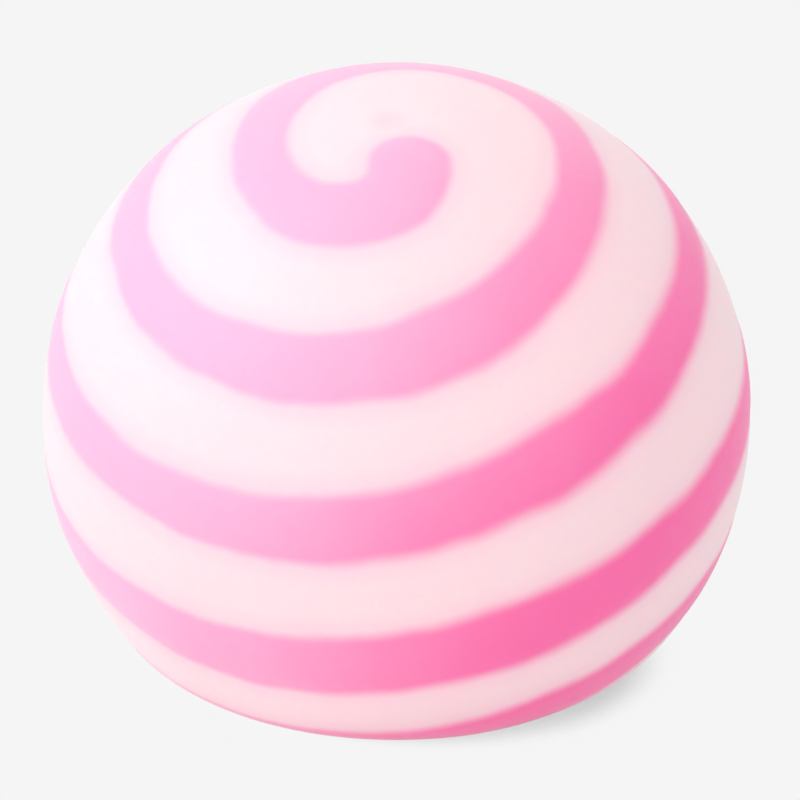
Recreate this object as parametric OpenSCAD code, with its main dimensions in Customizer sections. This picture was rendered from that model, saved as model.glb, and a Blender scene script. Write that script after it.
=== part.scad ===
// A soft squeeze ball with one spiral stripe, as it sits on a table: a hollow moulded skin full of soft
// filling, a stripe printed on the skin, and the plug and the dab of sealant that close its filling port.
// The ball rests on the plane z = 0 with its middle on the z axis. The front is towards -y.

/* [Ball] */
// Width of the ball at its widest, as it sits
ball_w = 70; // [56:1:100]
// How far the soft ball settles under its own weight, measured at its widest level
sag = 10.6; // [5:0.2:14]
// Radius of the roll where the side turns under to the flat patch
roll_r = 10.5; // [7:0.5:14]
// How much larger the radius of the crown is than half the width
crown_extra = 0.9; // [0.3:0.1:3]
// How much smaller the radius of the side is than half the width
side_trim = 0.7; // [0.3:0.1:3]
// Thickness of the moulded skin
wall = 2.5; // [1.8:0.1:4]

/* [Stripe] */
// Width of the stripe across its run
stripe_w = 6; // [3:0.1:8]
// How much the stripe widens and then narrows again, twice in each turn
width_swing = 0.8; // [0:0.1:1.5]
// Place in the turn where it is widest, in degrees from the front
width_swing_at = -11; // [-90:1:90]
// Extra width of the stripe at its inner end
inner_swell = 1.6; // [0:0.1:2]
// Turns over which the inner end's extra width runs out
inner_turns = 1.2; // [0.2:0.1:2]
// Extra width of the stripe low on the front of the ball
low_swell = 1; // [0:0.1:2]
// Turn at which the stripe has all of that extra width
low_at = 3; // [2:0.1:4]
// Turns to each side over which that extra width runs out
low_turns = 1.1; // [0.5:0.1:2]
// Thickness of the printed coat
coat_t = 0.2; // [0.1:0.05:0.4]
// Angle at the centre by which the stripe moves on in one turn
stripe_step = 24.8; // [20:0.2:30]
// Angle at the centre from the pole to the stripe where it starts its first whole turn, at the front
stripe_first = 14.1; // [12:0.1:18]
// Turn at which the inner end is rounded off, counted from the front
inner_end = -0.08; // [-0.15:0.01:0]
// Turn at which the outer end is rounded off, under the ball
outer_end = 5; // [4.8:0.1:5.2]
// Angle by which the stripe swings out and in again twice in each turn
swing = 2.3; // [0:0.1:3]
// Place in the turn of the outward swing, in degrees from the front
swing_at = 20.5; // [0:0.5:90]
// Angle by which the stripe wanders out and in again over two turns
wander = 0.6; // [0:0.1:2]
// Turn at which the stripe has first wandered furthest out
wander_at = 0.67; // [0:0.01:2]
// Tilt of the stripe's pole from straight up towards the front
pole_tilt = 15; // [0:0.1:25]
// Lean of the stripe's pole to the right, to the left where negative
pole_lean = -2.4; // [-10:0.1:10]

/* [Filling port] */
// Bore of the filling port through the skin
port_d = 2.4; // [1.6:0.1:2.8]
// Width of the port's mouth, which holds the sealant
mouth_d = 3.2; // [3:0.1:4]
// Depth of the port's mouth
mouth_depth = 0.8; // [0.4:0.1:1.2]
// Tilt of the port from straight up towards the front
port_tilt = 12.1; // [4:0.1:14]
// Lean of the port to the right, to the left where negative
port_lean = -1.4; // [-6:0.1:3]
// Width of the plug's barb inside the skin
barb_d = 5.2; // [3.6:0.1:8]
// Height of the plug's barb
barb_h = 2.2; // [1:0.1:4]
// Hollow at the middle of the sealant's face
seal_dip = 0.25; // [0.05:0.05:0.35]

/* [Fit] */
// Clearance between pieces that are moulded or pressed together
fit = 0.05; // [0.02:0.01:0.1]
// Clearance of the printed coat over the skin
coat_gap = 0.07; // [0.06:0.01:0.15]
// Height over the table at which the stripe is cut off as it turns under the ball
floor_gap = 0.1; // [0.05:0.05:1]

/* [Hidden] */
$fn = 180;

// The ball's outline is three arcs, each tangent to the next: the crown, the side and the roll under it.
half_w = ball_w / 2;
crown_r = half_w + crown_extra;
side_r = half_w - side_trim;
side_z = half_w - sag;
crown_to = acos(side_trim / (crown_r - side_r));
crown_z = side_z - (crown_r - side_r) * sin(crown_to);
roll_from = asin((side_z - roll_r) / (side_r - roll_r));
roll_x = side_trim + (side_r - roll_r) * cos(roll_from);
reach = 2 * ball_w;

// Levels at which the crown meets the side and the side meets the roll, on a surface moved inwards by inset.
function crown_edge(inset) = crown_z + (crown_r - inset) * sin(crown_to);
function roll_edge(inset) = roll_r - (roll_r - inset) * sin(roll_from);

// Half of the ball's outline, with its surface moved inwards by inset: the crown's circle above the table,
// less what lies outside the side's circle below the crown, and outside the roll's circle below the side.
module outline(inset) {
    difference() {
        intersection() {
            translate([0, crown_z])
                circle(crown_r - inset);
            translate([0, inset])
                square(reach);
        }
        difference() {
            translate([0, -reach])
                square([reach, reach + crown_edge(inset)]);
            translate([side_trim, side_z])
                circle(side_r - inset);
        }
        difference() {
            translate([roll_x, -reach])
                square([reach, reach + roll_edge(inset)]);
            translate([roll_x, roll_r])
                circle(roll_r - inset);
        }
    }
}

// The printed stripe is one closed band, swept along a spiral round its pole.
turn_step = 1 / 64;
end_rings = 5;
end_bend = 80;
across = 4;
side_centre = [side_trim, side_z - crown_z];
roll_centre = [roll_x, roll_r - crown_z];

// Point where a ray from the ball's centre leaves a circle, measured from the circle's centre.
function on_circle(centre, r, ray) =
    let (along = centre * ray)
        (along + sqrt(along * along - centre * centre + r * r)) * ray - centre;

// Point on the ball's outline on a ray from the ball's centre, lifted off the surface.
function on_outline(ray, lift) =
    let (
        side = on_circle(side_centre, side_r, ray),
        slope = atan2(side[1], side[0]),
        patch_x = -ray[0] / ray[1] * crown_z
    )
        slope >= crown_to ? (crown_r + lift) * ray
        : slope >= -roll_from ? side_centre + side * (1 + lift / side_r)
        : patch_x > roll_x ? roll_centre + on_circle(roll_centre, roll_r, ray) * (1 + lift / roll_r)
        : [patch_x, -crown_z - lift];

// Point on the ball in a direction from its centre, lifted off the surface.
function on_ball(way, lift) =
    let (flat = norm([way[0], way[1]]), place = on_outline([flat, way[2]], lift))
        [way[0] / flat * place[0], way[1] / flat * place[0], crown_z + place[1]];

// Angle from the pole to the stripe's middle at turn t.
function stripe_angle(t) =
    stripe_first + stripe_step * t
    + swing * cos(2 * (360 * t - swing_at))
    + wander * cos(180 * (t - wander_at));

// Falls from 1 to 0 while a share goes from 0 to 1, gently at both ends.
function fade(share) =
    let (left = max(0, 1 - share))
        left * left * (3 - 2 * left);

// Half of the stripe's width at turn t, as an angle at the centre.
function half_angle(t) =
    let (
        width = stripe_w
            + width_swing * cos(2 * (360 * t - width_swing_at))
            + inner_swell * pow(max(0, 1 - (t - inner_end) / inner_turns), 2)
            + low_swell * fade(abs(t - low_at) / low_turns)
    )
        width / 2 / crown_r * 180 / PI;

// Direction of the stripe's middle at turn t, from the front by way of the left.
function middle(t) =
    let (
        angle = stripe_angle(t),
        right = -sin(angle) * sin(360 * t),
        back = -sin(angle) * cos(360 * t),
        up = cos(angle) * cos(pole_lean) - right * sin(pole_lean)
    )
        [
            right * cos(pole_lean) + cos(angle) * sin(pole_lean),
            back * cos(pole_tilt) - up * sin(pole_tilt),
            back * sin(pole_tilt) + up * cos(pole_tilt),
        ];

function unit(v) = v / norm(v);

// Cross-section of the coat, square to its run: at turn t, ahead by an angle along the run, and half wide to
// each side. Its outer face comes first, then its inner face.
function ring(t, ahead, half) =
    let (
        out = middle(t),
        along = unit(middle(t + turn_step / 2) - middle(t - turn_step / 2)),
        row = [
            for (k = [0:across])
                unit(out + tan(ahead) * along + tan(half * (2 * k / across - 1)) * cross(out, along))
        ]
    )
        concat(
            [for (k = [0:across]) on_ball(row[k], coat_gap + coat_t)],
            [for (k = [across:-1:0]) on_ball(row[k], coat_gap)]
        );

// Round end of the stripe at turn t: way is -1 at its inner end and 1 at its outer end.
function round_end(t, way) = [
    for (k = [1:end_rings])
        let (bend = end_bend * k / end_rings)
            ring(t, way * half_angle(t) * sin(bend), half_angle(t) * cos(bend))
];

// Moves a shape from the z axis of the ball's centre to the port.
module at_port() {
    translate([0, 0, crown_z])
        rotate([port_tilt, 0, 0])
            rotate([0, port_lean, 0])
                children();
}

// Height over the ball's centre of the barb's shoulder, just inside the skin.
shoulder_z = sqrt(pow(crown_r - wall, 2) - pow(barb_d / 2, 2)) - fit;
seat_z = crown_r - mouth_depth;

// The plug's barb, larger by gap all round.
module barb(gap) {
    translate([0, 0, shoulder_z - barb_h - gap])
        cylinder(d1 = port_d + 2 * gap, d2 = barb_d + 2 * gap, h = barb_h + 2 * gap);
}

module skin() {
    color("lavenderblush")
        difference() {
            rotate_extrude()
                difference() {
                    outline(0);
                    outline(wall);
                }
            at_port() {
                translate([0, 0, crown_r - 2 * wall])
                    cylinder(d = port_d, h = 3 * wall);
                translate([0, 0, seat_z])
                    cylinder(d = mouth_d, h = 2 * mouth_depth);
            }
        }
}

module spiral_stripe() {
    steps = ceil((outer_end - inner_end) / turn_step);
    inner_rings = round_end(inner_end, -1);
    turns = [for (k = [0:steps]) inner_end + (outer_end - inner_end) * k / steps];
    rings = concat(
        [for (k = [end_rings - 1:-1:0]) inner_rings[k]],
        [for (t = turns) ring(t, 0, half_angle(t))],
        round_end(outer_end, 1)
    );
    corners = len(rings[0]);
    last = corners * (len(rings) - 1);
    sides = [
        for (k = [0:len(rings) - 2], c = [0:corners - 1])
            let (a = corners * k + c, b = corners * k + (c + 1) % corners)
                each [[a, b, b + corners], [a, b + corners, a + corners]]
    ];
    ends = [
        for (k = [0:across - 1])
            let (a = k, b = k + 1, c = corners - 2 - k, d = corners - 1 - k)
                each [[a, c, b], [a, d, c], [last + a, last + b, last + c], [last + a, last + c, last + d]]
    ];
    color("hotpink")
        intersection() {
            polyhedron([for (r = rings) each r], concat(sides, ends));
            translate([-reach / 2, -reach / 2, floor_gap])
                cube(reach);
        }
}

module filling() {
    color("mistyrose")
        difference() {
            rotate_extrude()
                outline(wall + fit);
            at_port() {
                barb(fit);
                translate([0, 0, shoulder_z])
                    cylinder(d = barb_d + 2 * fit, h = wall);
            }
        }
}

module fill_plug() {
    color("pink")
        at_port() {
            barb(0);
            translate([0, 0, shoulder_z - barb_h / 2])
                cylinder(d = port_d - 2 * fit, h = seat_z - shoulder_z + barb_h / 2);
        }
}

module plug_seal() {
    seal_d = mouth_d - 2 * fit;
    seal_h = mouth_depth - fit;
    dish_r = (pow(seal_d / 2, 2) + pow(seal_dip, 2)) / (2 * seal_dip);
    color("white")
        at_port()
            translate([0, 0, seat_z])
                difference() {
                    cylinder(d = seal_d, h = seal_h);
                    translate([0, 0, seal_h - seal_dip + dish_r])
                        sphere(dish_r);
                }
}

skin();
spiral_stripe();
filling();
fill_plug();
plug_seal();
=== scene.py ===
import math

import bmesh
import bpy
from mathutils import Matrix, Vector


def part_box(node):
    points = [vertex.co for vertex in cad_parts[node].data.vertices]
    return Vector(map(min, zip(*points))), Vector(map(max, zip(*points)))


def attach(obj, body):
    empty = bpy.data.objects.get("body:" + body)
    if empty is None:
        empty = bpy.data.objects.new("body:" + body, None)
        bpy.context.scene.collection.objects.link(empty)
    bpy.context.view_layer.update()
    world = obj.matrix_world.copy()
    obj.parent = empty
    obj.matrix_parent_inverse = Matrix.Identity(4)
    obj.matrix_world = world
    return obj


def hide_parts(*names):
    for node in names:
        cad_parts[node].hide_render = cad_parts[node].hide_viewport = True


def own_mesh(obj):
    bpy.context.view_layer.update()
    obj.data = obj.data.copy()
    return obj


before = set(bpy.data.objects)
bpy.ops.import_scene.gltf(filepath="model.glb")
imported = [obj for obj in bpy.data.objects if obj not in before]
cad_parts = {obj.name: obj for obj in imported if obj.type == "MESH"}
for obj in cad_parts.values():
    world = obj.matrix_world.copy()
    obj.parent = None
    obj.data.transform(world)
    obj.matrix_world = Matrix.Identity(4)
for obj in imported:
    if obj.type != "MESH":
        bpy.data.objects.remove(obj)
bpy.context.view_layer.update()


# Striped skin
# A hollow ball of soft rubber, cast round in a mould with one small port left open near its top. Once it is
# filled it settles on the table and its lowest part lies flat. The pink stripe is sprayed on through a wound
# mask, so its edges are soft and it stands proud of the skin by less than the eye can see.
skin_low, skin_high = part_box("skin")
half_width = (skin_high.x - skin_low.x) / 2
crown_extra = 0.0009
side_trim = 0.0007
roll_r = 0.0105
wall = 0.0025
crown_r = half_width + crown_extra
side_r = half_width - side_trim
crown_to = math.acos(side_trim / (crown_r - side_r))
crown_z = skin_high.z - crown_r
side_z = crown_z + (crown_r - side_r) * math.sin(crown_to)
roll_from = math.asin((side_z - roll_r) / (side_r - roll_r))
roll_x = side_trim + (side_r - roll_r) * math.cos(roll_from)
ball_centre = Vector((0, 0, crown_z))

port_tilt = math.radians(12.1)
port_lean = math.radians(-1.4)
port_r = 0.0012
mouth_r = 0.0016
mouth_depth = 0.0008
seat_z = crown_r - mouth_depth
port_turn = Matrix.Rotation(port_tilt, 4, "X") @ Matrix.Rotation(port_lean, 4, "Y")
at_port = Matrix.Translation(ball_centre) @ port_turn
port_top = at_port @ Vector((0, 0, crown_r))

# The stripe's turns are counted round its own pole, which leans to the front, and its angles start there.
pole_tilt = math.radians(15)
pole_lean = math.radians(-2.4)
stripe_w = 0.006
width_swing = 0.0008
width_swing_at = math.radians(-11)
inner_swell = 0.0012
inner_turns = 1.2
low_swell = 0.001
low_at = 3.0
low_turns = 1.1
coat_t = 0.0001
coat_shoulder = 0.0015
stripe_step = math.radians(24.8)
stripe_first = math.radians(14.1)
inner_end = -0.085
hook = math.radians(2.6)
hook_turn = 0.1
outer_end = 6.1
swing = math.radians(2.3)
swing_at = math.radians(20.5)
wander = math.radians(0.6)
wander_at = 0.67
pole_turn = Matrix.Rotation(pole_tilt, 4, "X") @ Matrix.Rotation(pole_lean, 4, "Y")


def arc(radius, start, end, steps):
    """Points of a circle round the ball's centre between two angles off its axis, as (radius, height)."""
    angles = [start + (end - start) * k / steps for k in range(steps + 1)]
    return [(radius * math.sin(a), radius * math.cos(a)) for a in angles]


def turned(name, profile, segments):
    """An object turned about the z axis from a profile that starts and ends there and runs anticlockwise."""
    shape = bmesh.new()
    first = shape.verts.new((0, 0, profile[0][1]))
    rings = []
    for radius, height in profile[1:-1]:
        ring = []
        for k in range(segments):
            angle = math.tau * k / segments
            ring.append(shape.verts.new((radius * math.cos(angle), radius * math.sin(angle), height)))
        rings.append(ring)
    last = shape.verts.new((0, 0, profile[-1][1]))
    for k in range(segments):
        after = (k + 1) % segments
        shape.faces.new((first, rings[0][after], rings[0][k]))
        for lower, upper in zip(rings, rings[1:]):
            shape.faces.new((lower[k], lower[after], upper[after], upper[k]))
        shape.faces.new((rings[-1][k], rings[-1][after], last))
    mesh = bpy.data.meshes.new(name)
    shape.to_mesh(mesh)
    shape.free()
    piece = bpy.data.objects.new(name, mesh)
    bpy.context.scene.collection.objects.link(piece)
    return piece


def feed(tree, socket, value):
    """Links another node's output to a socket, or sets the socket to a plain value."""
    if isinstance(value, bpy.types.NodeSocket):
        tree.links.new(value, socket)
    else:
        socket.default_value = value


def calc(tree, operation, *values):
    """The result of a new Math node."""
    node = tree.nodes.new("ShaderNodeMath")
    node.operation = operation
    for socket, value in zip(node.inputs, values):
        feed(tree, socket, value)
    return node.outputs["Value"]


def calc_vector(tree, operation, *values):
    """The result of a new Vector Math node: a number for a length or a dot product, otherwise a vector."""
    node = tree.nodes.new("ShaderNodeVectorMath")
    node.operation = operation
    sockets = [socket for socket in node.inputs if socket.enabled]
    for socket, value in zip(sockets, values):
        feed(tree, socket, value)
    return next(socket for socket in node.outputs if socket.enabled)


def choose(tree, test, when_true, when_false):
    """One of two numbers, by a test that is 1 or 0."""
    node = tree.nodes.new("GeometryNodeSwitch")
    node.input_type = "FLOAT"
    feed(tree, node.inputs["Switch"], test)
    feed(tree, node.inputs["True"], when_true)
    feed(tree, node.inputs["False"], when_false)
    return node.outputs["Output"]


def parts_of(tree, vector):
    """The x, y and z of a vector."""
    node = tree.nodes.new("ShaderNodeSeparateXYZ")
    feed(tree, node.inputs["Vector"], vector)
    return node.outputs["X"], node.outputs["Y"], node.outputs["Z"]


def upright(tree, height):
    """A vector straight up from the origin."""
    node = tree.nodes.new("ShaderNodeCombineXYZ")
    feed(tree, node.inputs["Z"], height)
    return node.outputs["Vector"]


def new_tree(name, sizes):
    """A Geometry Nodes tree with one named input for each size, and its inputs by name."""
    tree = bpy.data.node_groups.new(name, "GeometryNodeTree")
    tree.interface.new_socket("Geometry", in_out="INPUT", socket_type="NodeSocketGeometry")
    tree.interface.new_socket("Geometry", in_out="OUTPUT", socket_type="NodeSocketGeometry")
    for size, value in sizes.items():
        kind = "NodeSocketFloat" if isinstance(value, (int, float)) else "NodeSocketVector"
        tree.interface.new_socket(size, in_out="INPUT", socket_type=kind)
    return tree, tree.nodes.new("NodeGroupInput").outputs


def finish_tree(tree, geometry, material):
    """Ends a tree: real geometry, smooth faces with sharp corners kept, and the piece's material."""
    corner_angle = math.radians(40)
    corner = tree.nodes.new("GeometryNodeInputMeshEdgeAngle")
    edges = tree.nodes.new("GeometryNodeSetShadeSmooth")
    edges.domain = "EDGE"
    feed(tree, edges.inputs["Geometry"], geometry)
    smooth = calc(tree, "LESS_THAN", corner.outputs["Unsigned Angle"], corner_angle)
    feed(tree, edges.inputs["Shade Smooth"], smooth)
    faces = tree.nodes.new("GeometryNodeSetShadeSmooth")
    feed(tree, faces.inputs["Geometry"], edges.outputs["Geometry"])
    real = tree.nodes.new("GeometryNodeRealizeInstances")
    feed(tree, real.inputs["Geometry"], faces.outputs["Geometry"])
    painted = tree.nodes.new("GeometryNodeSetMaterial")
    feed(tree, painted.inputs["Geometry"], real.outputs["Geometry"])
    painted.inputs["Material"].default_value = material
    feed(tree, tree.nodes.new("NodeGroupOutput").inputs["Geometry"], painted.outputs["Geometry"])


def shaped(piece, tree, sizes):
    """Runs a tree on a piece and keeps the result as the piece's plain mesh."""
    modifier = piece.modifiers.new(tree.name, "NODES")
    modifier.node_group = tree
    for socket in tree.interface.items_tree:
        if socket.name in sizes:
            modifier[socket.identifier] = sizes[socket.name]
    evaluated = piece.evaluated_get(bpy.context.evaluated_depsgraph_get())
    mesh = bpy.data.meshes.new_from_object(evaluated)
    piece.modifiers.remove(modifier)
    piece.data = mesh


def new_material(name):
    """A node material, with its tree and its shader."""
    material = bpy.data.materials.new(name)
    material.use_nodes = True
    return material, material.node_tree, material.node_tree.nodes["Principled BSDF"]


def attribute(tree, name):
    """The output of a piece's own attribute, as a vector or as a number."""
    node = tree.nodes.new("ShaderNodeAttribute")
    node.attribute_name = name
    return node.outputs


def noise(tree, place, scale, detail=2.0, roughness=0.5):
    """Noise from 0 to 1 at a place, with a number of grains per metre."""
    node = tree.nodes.new("ShaderNodeTexNoise")
    feed(tree, node.inputs["Vector"], place)
    node.inputs["Scale"].default_value = scale
    node.inputs["Detail"].default_value = detail
    node.inputs["Roughness"].default_value = roughness
    return node.outputs["Fac"]


def ramp(tree, value, start, end, low=0.0, high=1.0, way="SMOOTHSTEP"):
    """A value carried over from one range to another, held at the ends."""
    node = tree.nodes.new("ShaderNodeMapRange")
    node.interpolation_type = way
    feed(tree, node.inputs["Value"], value)
    feed(tree, node.inputs["From Min"], start)
    feed(tree, node.inputs["From Max"], end)
    feed(tree, node.inputs["To Min"], low)
    feed(tree, node.inputs["To Max"], high)
    return node.outputs["Result"]


def mixed(tree, share, first, second):
    """A mix of two colours."""
    node = tree.nodes.new("ShaderNodeMix")
    node.data_type = "RGBA"
    sockets = [socket for socket in node.inputs if socket.enabled]
    for socket, value in zip(sockets, (share, first, second)):
        feed(tree, socket, value)
    return next(socket for socket in node.outputs if socket.enabled)


def colour(red, green, blue):
    """A colour as a screen shows it, from 0 to 255, turned into the linear values that a shader takes."""
    shares = [value / 255 for value in (red, green, blue)]
    return [s / 12.92 if s <= 0.04045 else ((s + 0.055) / 1.055) ** 2.4 for s in shares] + [1.0]


# The ball's settled shape, as a tree that moves each point of a round ball along its ray from the centre.
settling_sizes = {
    "Crown Radius": crown_r,
    "Crown Height": crown_z,
    "Crown Edge": crown_to,
    "Side Radius": side_r,
    "Side Trim": side_trim,
    "Side Drop": side_z - crown_z,
    "Roll Edge": -roll_from,
    "Roll Radius": roll_r,
    "Roll Reach": roll_x,
    "Roll Drop": roll_r - crown_z,
}


def settled_place(tree, size, ray, depth):
    """Place on a ray from the settled ball's centre, at a depth below its crown, side, roll or flat patch."""
    ray_x, ray_y, up = parts_of(tree, ray)
    square_out = calc(tree, "ADD", calc(tree, "POWER", ray_x, 2.0), calc(tree, "POWER", ray_y, 2.0))
    out = calc(tree, "SQRT", square_out)

    def times(first, second):
        """The product of two numbers."""
        return calc(tree, "MULTIPLY", first, second)

    def below(name):
        """A radius or height of the outline, less the depth."""
        return calc(tree, "SUBTRACT", size[name], depth)

    def circle_reach(centre_out, centre_up, radius):
        """Distance from the ball's centre at which a ray leaves a circle."""
        along = calc(tree, "ADD", times(centre_out, out), times(centre_up, up))
        off = calc(tree, "SUBTRACT", times(centre_up, out), times(centre_out, up))
        left = calc(tree, "SUBTRACT", calc(tree, "POWER", radius, 2.0), calc(tree, "POWER", off, 2.0))
        return calc(tree, "ADD", along, calc(tree, "SQRT", left))

    crown = below("Crown Radius")
    side = circle_reach(size["Side Trim"], size["Side Drop"], below("Side Radius"))
    roll = circle_reach(size["Roll Reach"], size["Roll Drop"], below("Roll Radius"))
    least_drop = 1e-6
    drop = calc(tree, "MAXIMUM", times(up, -1.0), least_drop)
    patch = calc(tree, "DIVIDE", below("Crown Height"), drop)
    side_out = calc(tree, "SUBTRACT", times(side, out), size["Side Trim"])
    side_up = calc(tree, "SUBTRACT", times(side, up), size["Side Drop"])
    slope = calc(tree, "ARCTAN2", side_up, side_out)
    on_roll = calc(tree, "GREATER_THAN", times(patch, out), size["Roll Reach"])
    on_side = calc(tree, "GREATER_THAN", slope, size["Roll Edge"])
    on_crown = calc(tree, "GREATER_THAN", slope, size["Crown Edge"])
    reach = choose(tree, on_side, side, choose(tree, on_roll, roll, patch))
    reach = choose(tree, on_crown, crown, reach)
    along_ray = calc_vector(tree, "SCALE", ray, reach)
    return calc_vector(tree, "ADD", upright(tree, size["Crown Height"]), along_ray)


def settling_tree(name, material):
    """A tree that lets a round ball settle, with each point moved along its ray from the ball's centre."""
    tree, size = new_tree(name, settling_sizes)
    position = tree.nodes.new("GeometryNodeInputPosition").outputs["Position"]
    way = calc_vector(tree, "SUBTRACT", position, upright(tree, size["Crown Height"]))
    depth = calc(tree, "SUBTRACT", size["Crown Radius"], calc_vector(tree, "LENGTH", way))
    ray = calc_vector(tree, "NORMALIZE", way)
    settled = tree.nodes.new("GeometryNodeSetPosition")
    feed(tree, settled.inputs["Geometry"], size["Geometry"])
    feed(tree, settled.inputs["Position"], settled_place(tree, size, ray, depth))
    finish_tree(tree, settled.outputs["Geometry"], material)
    return tree


stripe_sizes = settling_sizes | {
    "Pole Right": pole_turn.col[0].xyz,
    "Pole Back": pole_turn.col[1].xyz,
    "Pole Up": pole_turn.col[2].xyz,
    "Stripe Width": stripe_w,
    "Width Swing": width_swing,
    "Width Swing At": width_swing_at,
    "Inner Swell": inner_swell,
    "Inner Turns": inner_turns,
    "Low Swell": low_swell,
    "Low At": low_at,
    "Low Turns": low_turns,
    "Stripe Step": stripe_step,
    "Stripe First": stripe_first,
    "Inner End": inner_end,
    "Outer End": outer_end,
    "Hook": hook,
    "Hook Turn": hook_turn,
    "Swing": swing,
    "Swing At": swing_at,
    "Wander": wander,
    "Wander At": wander_at,
    "Coat Thickness": coat_t,
    "Coat Shoulder": coat_shoulder,
}


def stripe_tree(name, material):
    """A tree that winds the stripe over the ball. It writes how far each point lies outside the stripe's
    edge, lifts the coat, and keeps each point's place at rest for the material's patterns."""
    line_points = 800
    bare = 0.1
    tree, size = new_tree(name, stripe_sizes)

    def turn_of(index):
        """Turn at a point of the line that the stripe follows."""
        return ramp(tree, index, 0.0, line_points - 1.0, size["Inner End"], size["Outer End"], "LINEAR")

    def twice_a_turn(turn, angle):
        """A wave that comes twice in each turn, and is highest at an angle round the pole."""
        ahead = calc(tree, "SUBTRACT", calc(tree, "MULTIPLY", turn, math.tau), angle)
        return calc(tree, "COSINE", calc(tree, "MULTIPLY", ahead, 2.0))

    def fading(share):
        """1 at the stripe's inner end, less and less further along, and 0 from a share of 1 on."""
        left = calc(tree, "MAXIMUM", calc(tree, "SUBTRACT", 1.0, share), 0.0)
        return calc(tree, "POWER", left, 2.0)

    # The stripe's middle line, wound round its pole from near the top of the ball until it is under it.
    line = tree.nodes.new("GeometryNodeMeshLine")
    line.inputs["Count"].default_value = line_points
    turn = turn_of(tree.nodes.new("GeometryNodeInputIndex").outputs["Index"])
    swinging = calc(tree, "MULTIPLY", size["Swing"], twice_a_turn(turn, size["Swing At"]))
    from_far = calc(tree, "MULTIPLY", calc(tree, "SUBTRACT", turn, size["Wander At"]), math.pi)
    wandering = calc(tree, "MULTIPLY", size["Wander"], calc(tree, "COSINE", from_far))
    steady = calc(tree, "ADD", size["Stripe First"], calc(tree, "MULTIPLY", size["Stripe Step"], turn))
    angle = calc(tree, "ADD", steady, calc(tree, "ADD", swinging, wandering))
    from_end = calc(tree, "DIVIDE", calc(tree, "SUBTRACT", turn, size["Inner End"]), size["Hook Turn"])
    angle = calc(tree, "SUBTRACT", angle, calc(tree, "MULTIPLY", size["Hook"], fading(from_end)))
    round_pole = calc(tree, "MULTIPLY", turn, math.tau)
    flat = calc(tree, "MULTIPLY", calc(tree, "SINE", angle), -1.0)
    to_right = calc(tree, "MULTIPLY", flat, calc(tree, "SINE", round_pole))
    to_back = calc(tree, "MULTIPLY", flat, calc(tree, "COSINE", round_pole))
    right = calc_vector(tree, "SCALE", size["Pole Right"], to_right)
    back = calc_vector(tree, "SCALE", size["Pole Back"], to_back)
    up = calc_vector(tree, "SCALE", size["Pole Up"], calc(tree, "COSINE", angle))
    line_ray = calc_vector(tree, "ADD", calc_vector(tree, "ADD", right, back), up)
    wound = tree.nodes.new("GeometryNodeSetPosition")
    feed(tree, wound.inputs["Geometry"], line.outputs["Mesh"])
    feed(tree, wound.inputs["Position"], settled_place(tree, size, line_ray, 0.0))

    # How far each point of the skin is from that line, and how wide the stripe is there.
    near = tree.nodes.new("GeometryNodeProximity")
    near.target_element = "EDGES"
    feed(tree, near.inputs["Geometry"], wound.outputs["Geometry"])
    nearest = tree.nodes.new("GeometryNodeSampleNearest")
    feed(tree, nearest.inputs["Geometry"], wound.outputs["Geometry"])
    there = turn_of(nearest.outputs["Index"])
    from_inner = calc(tree, "DIVIDE", calc(tree, "SUBTRACT", there, size["Inner End"]), size["Inner Turns"])
    from_low = calc(tree, "ABSOLUTE", calc(tree, "SUBTRACT", there, size["Low At"]))
    low_share = ramp(tree, from_low, size["Low Turns"], 0.0)
    width = calc(tree, "MULTIPLY", size["Width Swing"], twice_a_turn(there, size["Width Swing At"]))
    width = calc(tree, "ADD", width, calc(tree, "MULTIPLY", size["Inner Swell"], fading(from_inner)))
    width = calc(tree, "ADD", width, calc(tree, "MULTIPLY", size["Low Swell"], low_share))
    width = calc(tree, "ADD", width, size["Stripe Width"])
    edge = calc(tree, "SUBTRACT", near.outputs["Distance"], calc(tree, "DIVIDE", width, 2.0))

    position = tree.nodes.new("GeometryNodeInputPosition").outputs["Position"]
    normal = tree.nodes.new("GeometryNodeInputNormal").outputs["Normal"]
    way = calc_vector(tree, "SUBTRACT", position, upright(tree, size["Crown Height"]))
    outer = calc(tree, "GREATER_THAN", calc_vector(tree, "DOT_PRODUCT", normal, way), 0.0)
    edge = choose(tree, outer, edge, bare)
    shoulder_end = calc(tree, "MULTIPLY", size["Coat Shoulder"], -1.0)
    coat = ramp(tree, edge, 0.0, shoulder_end, 0.0, size["Coat Thickness"])
    off_table = ramp(tree, parts_of(tree, position)[2], 0.0, size["Coat Shoulder"])
    lift = calc(tree, "MULTIPLY", coat, off_table)
    lifted = tree.nodes.new("GeometryNodeSetPosition")
    feed(tree, lifted.inputs["Geometry"], size["Geometry"])
    feed(tree, lifted.inputs["Offset"], calc_vector(tree, "SCALE", normal, lift))

    with_edge = tree.nodes.new("GeometryNodeStoreNamedAttribute")
    with_edge.inputs["Name"].default_value = "stripe_edge"
    feed(tree, with_edge.inputs["Geometry"], lifted.outputs["Geometry"])
    feed(tree, with_edge.inputs["Value"], edge)
    with_place = tree.nodes.new("GeometryNodeStoreNamedAttribute")
    with_place.data_type = "FLOAT_VECTOR"
    with_place.inputs["Name"].default_value = "rest_place"
    feed(tree, with_place.inputs["Geometry"], with_edge.outputs["Geometry"])
    place_socket = next(socket for socket in with_place.inputs if socket.name == "Value" and socket.enabled)
    feed(tree, place_socket, position)
    finish_tree(tree, with_place.outputs["Geometry"], material)
    return tree


def from_port(tree, place):
    """Distance of a place from the middle of the port's mouth."""
    return calc_vector(tree, "DISTANCE", place, tuple(port_top))


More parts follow.
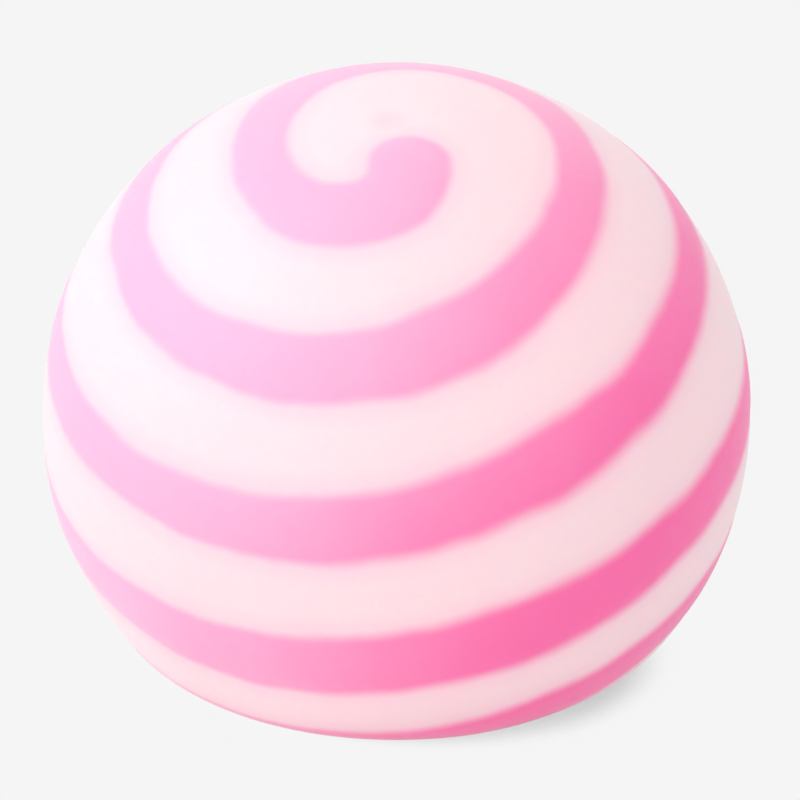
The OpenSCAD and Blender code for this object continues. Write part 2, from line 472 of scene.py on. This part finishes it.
def milky(tree, place):
    """Colour of the bare milky rubber, with a faint pink smudge round the port."""
    milk = colour(250, 211, 217)
    smudge_pink = colour(250, 188, 203)
    smudge_r = 0.003
    smudge_share = 0.5
    smudge = ramp(tree, from_port(tree, place), smudge_r, 0.0, 0.0, smudge_share)
    return mixed(tree, smudge, milk, smudge_pink)


def dusty(tree, rubber, place):
    """Gives rubber its matt powdery bloom and fine grain."""
    bloom_scale = 900.0
    grain_scale = 2600.0
    grain_depth = 0.00004
    least_matt = 0.46
    most_matt = 0.56
    bloom = noise(tree, place, bloom_scale, 4.0)
    feed(tree, rubber.inputs["Roughness"], ramp(tree, bloom, 0.25, 0.75, least_matt, most_matt))
    bump = tree.nodes.new("ShaderNodeBump")
    bump.inputs["Strength"].default_value = 0.12
    bump.inputs["Distance"].default_value = grain_depth
    feed(tree, bump.inputs["Height"], noise(tree, place, grain_scale, 3.0, 0.6))
    feed(tree, rubber.inputs["Normal"], bump.outputs["Normal"])
    rubber.inputs["Sheen Weight"].default_value = 0.2
    rubber.inputs["Sheen Roughness"].default_value = 0.5
    rubber.inputs["IOR"].default_value = 1.6
    rubber.inputs["Specular IOR Level"].default_value = 0.7


def skin_rubber():
    """Milky rubber, and the pink spray with its soft edge and its blush on the rubber next to it. The pink's
    colour has painted light and shade: it is paler towards the ball's upper left, where the light falls, and
    deeper towards its lower right, in shade, with a random cloud over it."""
    blush = colour(252, 196, 211)
    # Painted light and shade: the pink as it looks where the light falls on the upper left, and in shade on
    # the lower right.
    lit_pink = colour(255, 171, 206)
    shaded_pink = colour(255, 91, 163)
    shaded_side = (0.88, -0.22, -0.42)
    lit_end = -0.46
    shaded_end = 0.76
    cloud_scale = 60.0
    cloud_share = 0.3
    crisp = 0.0006
    soft = 0.0011
    waver_scale = 110.0
    waver = 0.0014
    blush_reach = 0.0028
    blush_share = 0.6
    glow_from = 0.0028
    glow_full = 0.006
    glow_share = 0.6
    glow_depth = 0.004
    material, tree, rubber = new_material("skin_rubber")
    place = attribute(tree, "rest_place")["Vector"]
    edge = attribute(tree, "stripe_edge")["Fac"]
    unsteady = calc(tree, "SUBTRACT", noise(tree, place, waver_scale), 0.5)
    edge = calc(tree, "ADD", edge, calc(tree, "MULTIPLY", unsteady, waver))
    way = calc_vector(tree, "NORMALIZE", calc_vector(tree, "SUBTRACT", place, tuple(ball_centre)))
    cloud = calc(tree, "SUBTRACT", noise(tree, place, cloud_scale, 3.0), 0.5)
    # Painted light and shade: a share that runs from the lit upper left to the shaded lower right, with a
    # random cloud added.
    toward_shade = calc_vector(tree, "DOT_PRODUCT", way, shaded_side)
    toward_shade = calc(tree, "ADD", toward_shade, calc(tree, "MULTIPLY", cloud, cloud_share))
    shaded_share = ramp(tree, toward_shade, lit_end, shaded_end)
    paint = mixed(tree, shaded_share, lit_pink, shaded_pink)
    blushing = ramp(tree, edge, blush_reach, 0.0, 0.0, blush_share)
    ground = mixed(tree, blushing, milky(tree, place), blush)
    spread = ramp(tree, shaded_share, 0.0, 1.0, crisp, soft)
    sprayed = ramp(tree, calc(tree, "DIVIDE", edge, spread), 1.0, -1.0)
    feed(tree, rubber.inputs["Base Color"], mixed(tree, sprayed, ground, paint))
    dusty(tree, rubber, place)
    glow = ramp(tree, from_port(tree, place), glow_from, glow_full, 0.0, glow_share)
    feed(tree, rubber.inputs["Subsurface Weight"], glow)
    rubber.inputs["Subsurface Radius"].default_value = (1.0, 0.2, 0.3)
    rubber.inputs["Subsurface Scale"].default_value = glow_depth
    return material


outer_rings = 160
inner_rings = 50
skin_segments = 320
inner_r = crown_r - wall
skin_profile = (
    arc(crown_r, math.pi, math.asin(mouth_r / crown_r), outer_rings)
    + [(mouth_r, seat_z), (port_r, seat_z)]
    + arc(inner_r, math.asin(port_r / inner_r), math.pi, inner_rings)
)
striped_skin = turned("striped_skin", skin_profile, skin_segments)
striped_skin.data.transform(at_port)
rubber_finish = skin_rubber()
shaped(striped_skin, settling_tree("settle_skin", rubber_finish), settling_sizes)
shaped(striped_skin, stripe_tree("wind_stripe", rubber_finish), stripe_sizes)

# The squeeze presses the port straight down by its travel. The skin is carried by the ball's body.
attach(striped_skin, "ball")
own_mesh(striped_skin)
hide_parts("skin", "spiral_stripe")


# Soft filling
# A clear, faintly pink gel that is poured in through the port and sets inside the skin, so it takes the
# skin's settled inner shape and closes round the plug's barb.
fit = 0.00005
barb_r = 0.0026
barb_h = 0.0022
gel_r = inner_r - fit
pocket_r = barb_r + fit
shoulder_z = math.sqrt(inner_r ** 2 - barb_r ** 2) - fit
pocket_end = shoulder_z - barb_h - fit
gel_rings = 90
gel_segments = 144


def gel_finish():
    """Clear soft gel, with a faint pink cloud."""
    clear_pink = colour(250, 224, 230)
    deep_blush = colour(246, 206, 216)
    cloud_scale = 90.0
    film_scale = 400.0
    least_matt = 0.12
    most_matt = 0.22
    material, tree, gel = new_material("soft_gel")
    position = tree.nodes.new("ShaderNodeTexCoord").outputs["Object"]
    cloud = ramp(tree, noise(tree, position, cloud_scale, 3.0), 0.3, 0.7)
    feed(tree, gel.inputs["Base Color"], mixed(tree, cloud, clear_pink, deep_blush))
    film = noise(tree, position, film_scale)
    feed(tree, gel.inputs["Roughness"], ramp(tree, film, 0.3, 0.7, least_matt, most_matt))
    gel.inputs["IOR"].default_value = 1.4
    return material


gel_profile = (
    arc(gel_r, math.pi, math.asin(pocket_r / gel_r), gel_rings)
    + [(pocket_r, shoulder_z + fit), (port_r + fit, pocket_end), (0, pocket_end)]
)
soft_filling = turned("soft_filling", gel_profile, gel_segments)
soft_filling.data.transform(at_port)
shaped(soft_filling, settling_tree("settle_filling", gel_finish()), settling_sizes)
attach(soft_filling, "ball")
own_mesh(soft_filling)
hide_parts("filling")


# Filling plug
# A small barbed plug of firmer rubber, pressed into the port after filling. Its barb spreads under the skin
# and holds it there.
def plug_rubber():
    """Firm pink rubber, moulded, with a faint mould grain."""
    rose = colour(250, 196, 212)
    deep_rose = colour(244, 178, 198)
    cloud_scale = 700.0
    mould_scale = 3000.0
    least_matt = 0.45
    most_matt = 0.6
    material, tree, rubber = new_material("plug_rubber")
    position = tree.nodes.new("ShaderNodeTexCoord").outputs["Object"]
    cloud = ramp(tree, noise(tree, position, cloud_scale), 0.3, 0.7)
    feed(tree, rubber.inputs["Base Color"], mixed(tree, cloud, rose, deep_rose))
    mould_grain = noise(tree, position, mould_scale)
    feed(tree, rubber.inputs["Roughness"], ramp(tree, mould_grain, 0.3, 0.7, least_matt, most_matt))
    return material


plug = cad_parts["fill_plug"]
plug.data.materials.clear()
plug.data.materials.append(plug_rubber())
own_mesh(plug)


# Sealing dab
# A dab of milky sealant over the plug in the port's mouth, wiped level with the skin. It shrinks a little as
# it cures, which leaves a shallow dip, and its thin edge runs out into the skin round the mouth.
dab_r = 0.0025
dab_lift = 0.000014
dab_dip = 0.00008
dip_share = 0.35
dab_rings = 14
dab_segments = 64


def dab_finish():
    """Milky sealant, dusted with the same bloom as the skin."""
    material, tree, seal = new_material("cured_sealant")
    position = tree.nodes.new("ShaderNodeTexCoord").outputs["Object"]
    feed(tree, seal.inputs["Base Color"], milky(tree, position))
    dusty(tree, seal, position)
    return material


def dab_height(radius):
    """Height of the dab's face over the ball's centre: a dip in the middle and an edge sunk in the skin."""
    share = radius / dab_r
    on_skin = math.sqrt(crown_r ** 2 - radius ** 2)
    return on_skin + dab_lift * (1 - 2 * share ** 4) - dab_dip * math.exp(-(share / dip_share) ** 2)


sealant_r = mouth_r - fit
under_edge = math.sqrt(crown_r ** 2 - sealant_r ** 2)
dab_profile = [(0, seat_z), (sealant_r, seat_z), (sealant_r, under_edge)]
face_radii = [dab_r * (1 - k / dab_rings) for k in range(dab_rings + 1)]
dab_profile += [(radius, dab_height(radius)) for radius in face_radii]
sealing_dab = turned("sealing_dab", dab_profile, dab_segments)
sealing_dab.data.transform(at_port)
sealing_dab.data.materials.append(dab_finish())
sealing_dab.data.shade_smooth()
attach(sealing_dab, "plug")
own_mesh(sealing_dab)
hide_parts("plug_seal")


# Table, light and camera
# A plain pale table top in a bright room that is lighter on the left, with one large soft light on that side.
# The ball's shadow on the table is soft, and falls to its right.
table_half = 3.0
table_drop = 0.00005
table_pale = 0.913
table_matt = 0.9
shadow_reach = 0.012
shadow_depth = 0.78
shadow_curve = 2.0
shadow_samples = 64
open_share = 0.27
shut_share = 0.13
light_side = (-0.65, 0.38, 0.66)
table_mesh = bpy.data.meshes.new("table_top")
corners = [(-1, -1), (1, -1), (1, 1), (-1, 1)]
table_places = [(x * table_half, y * table_half, -table_drop) for x, y in corners]
table_mesh.from_pydata(table_places, [], [(0, 1, 2, 3)])
table_top = bpy.data.objects.new("table_top", table_mesh)
bpy.context.scene.collection.objects.link(table_top)

room_level = 1.02
room_slope = (-0.43, -0.2, 0.22)
key_level = 0.48
key_width = math.radians(55)
key_from = Vector((-0.55, -0.05, 0.43))


def seen_straight(tree):
    """1 for a ray from the camera, a mirror or clear glass, which sees the pale background, otherwise 0."""
    path = tree.nodes.new("ShaderNodeLightPath").outputs
    seen = calc(tree, "MAXIMUM", path["Is Camera Ray"], path["Is Glossy Ray"])
    return calc(tree, "MAXIMUM", seen, path["Is Transmission Ray"])


table_paint = bpy.data.materials.new("table_paint")
table_paint.use_nodes = True
paint_tree = table_paint.node_tree
paint_tree.nodes.clear()
matt = paint_tree.nodes.new("ShaderNodeBsdfDiffuse")
matt.inputs["Color"].default_value = (table_matt, table_matt, table_matt, 1)
shelter = paint_tree.nodes.new("ShaderNodeAmbientOcclusion")
shelter.inputs["Distance"].default_value = shadow_reach
shelter.samples = shadow_samples
lit_from = paint_tree.nodes.new("ShaderNodeCombineXYZ")
for axis, value in zip("XYZ", light_side):
    lit_from.inputs[axis].default_value = value
feed(paint_tree, shelter.inputs["Normal"], lit_from.outputs["Vector"])
shut_in = ramp(paint_tree, shelter.outputs["AO"], open_share, shut_share, 0.0, 1.0, "LINEAR")
shade = calc(paint_tree, "MULTIPLY", calc(paint_tree, "POWER", shut_in, shadow_curve), shadow_depth)
lit_share = calc(paint_tree, "SUBTRACT", 1.0, shade)
glow = paint_tree.nodes.new("ShaderNodeEmission")
feed(paint_tree, glow.inputs["Strength"], calc(paint_tree, "MULTIPLY", lit_share, table_pale))
blend_paint = paint_tree.nodes.new("ShaderNodeMixShader")
feed(paint_tree, blend_paint.inputs[0], seen_straight(paint_tree))
feed(paint_tree, blend_paint.inputs[1], matt.outputs["BSDF"])
feed(paint_tree, blend_paint.inputs[2], glow.outputs["Emission"])
paint_out = paint_tree.nodes.new("ShaderNodeOutputMaterial")
feed(paint_tree, paint_out.inputs["Surface"], blend_paint.outputs["Shader"])
table_mesh.materials.append(table_paint)

room = bpy.data.worlds.new("room")
bpy.context.scene.world = room
room.use_nodes = True
room_tree = room.node_tree
room_light = room_tree.nodes["Background"]
room_light.inputs["Color"].default_value = (1, 1, 1, 1)
looking = room_tree.nodes.new("ShaderNodeTexCoord").outputs["Generated"]
lean_in = calc(room_tree, "ADD", calc_vector(room_tree, "DOT_PRODUCT", looking, room_slope), 1.0)
room_strength = calc(room_tree, "MULTIPLY", lean_in, room_level)
shown = ramp(room_tree, seen_straight(room_tree), 0.0, 1.0, room_strength, table_pale)
feed(room_tree, room_light.inputs["Strength"], shown)

key = bpy.data.objects.new("key_light", bpy.data.lights.new("key_light", "SUN"))
key.data.energy = key_level
key.data.angle = key_width
key.rotation_euler = key_from.to_track_quat("Z", "Y").to_euler()
bpy.context.scene.collection.objects.link(key)

camera_up = math.radians(24.5)
camera_away = 0.42
camera_aim = Vector((0.00035, 0, 0.0257))
camera = bpy.data.objects.new("camera", bpy.data.cameras.new("camera"))
camera.data.lens = 190.6
camera.data.sensor_width = 36
camera.location = camera_aim + camera_away * Vector((0, -math.cos(camera_up), math.sin(camera_up)))
camera.rotation_euler = (math.pi / 2 - camera_up, 0, 0)
camera.data.clip_start = 0.01
bpy.context.scene.collection.objects.link(camera)
bpy.context.scene.camera = camera
bpy.context.scene.view_settings.view_transform = "Standard"
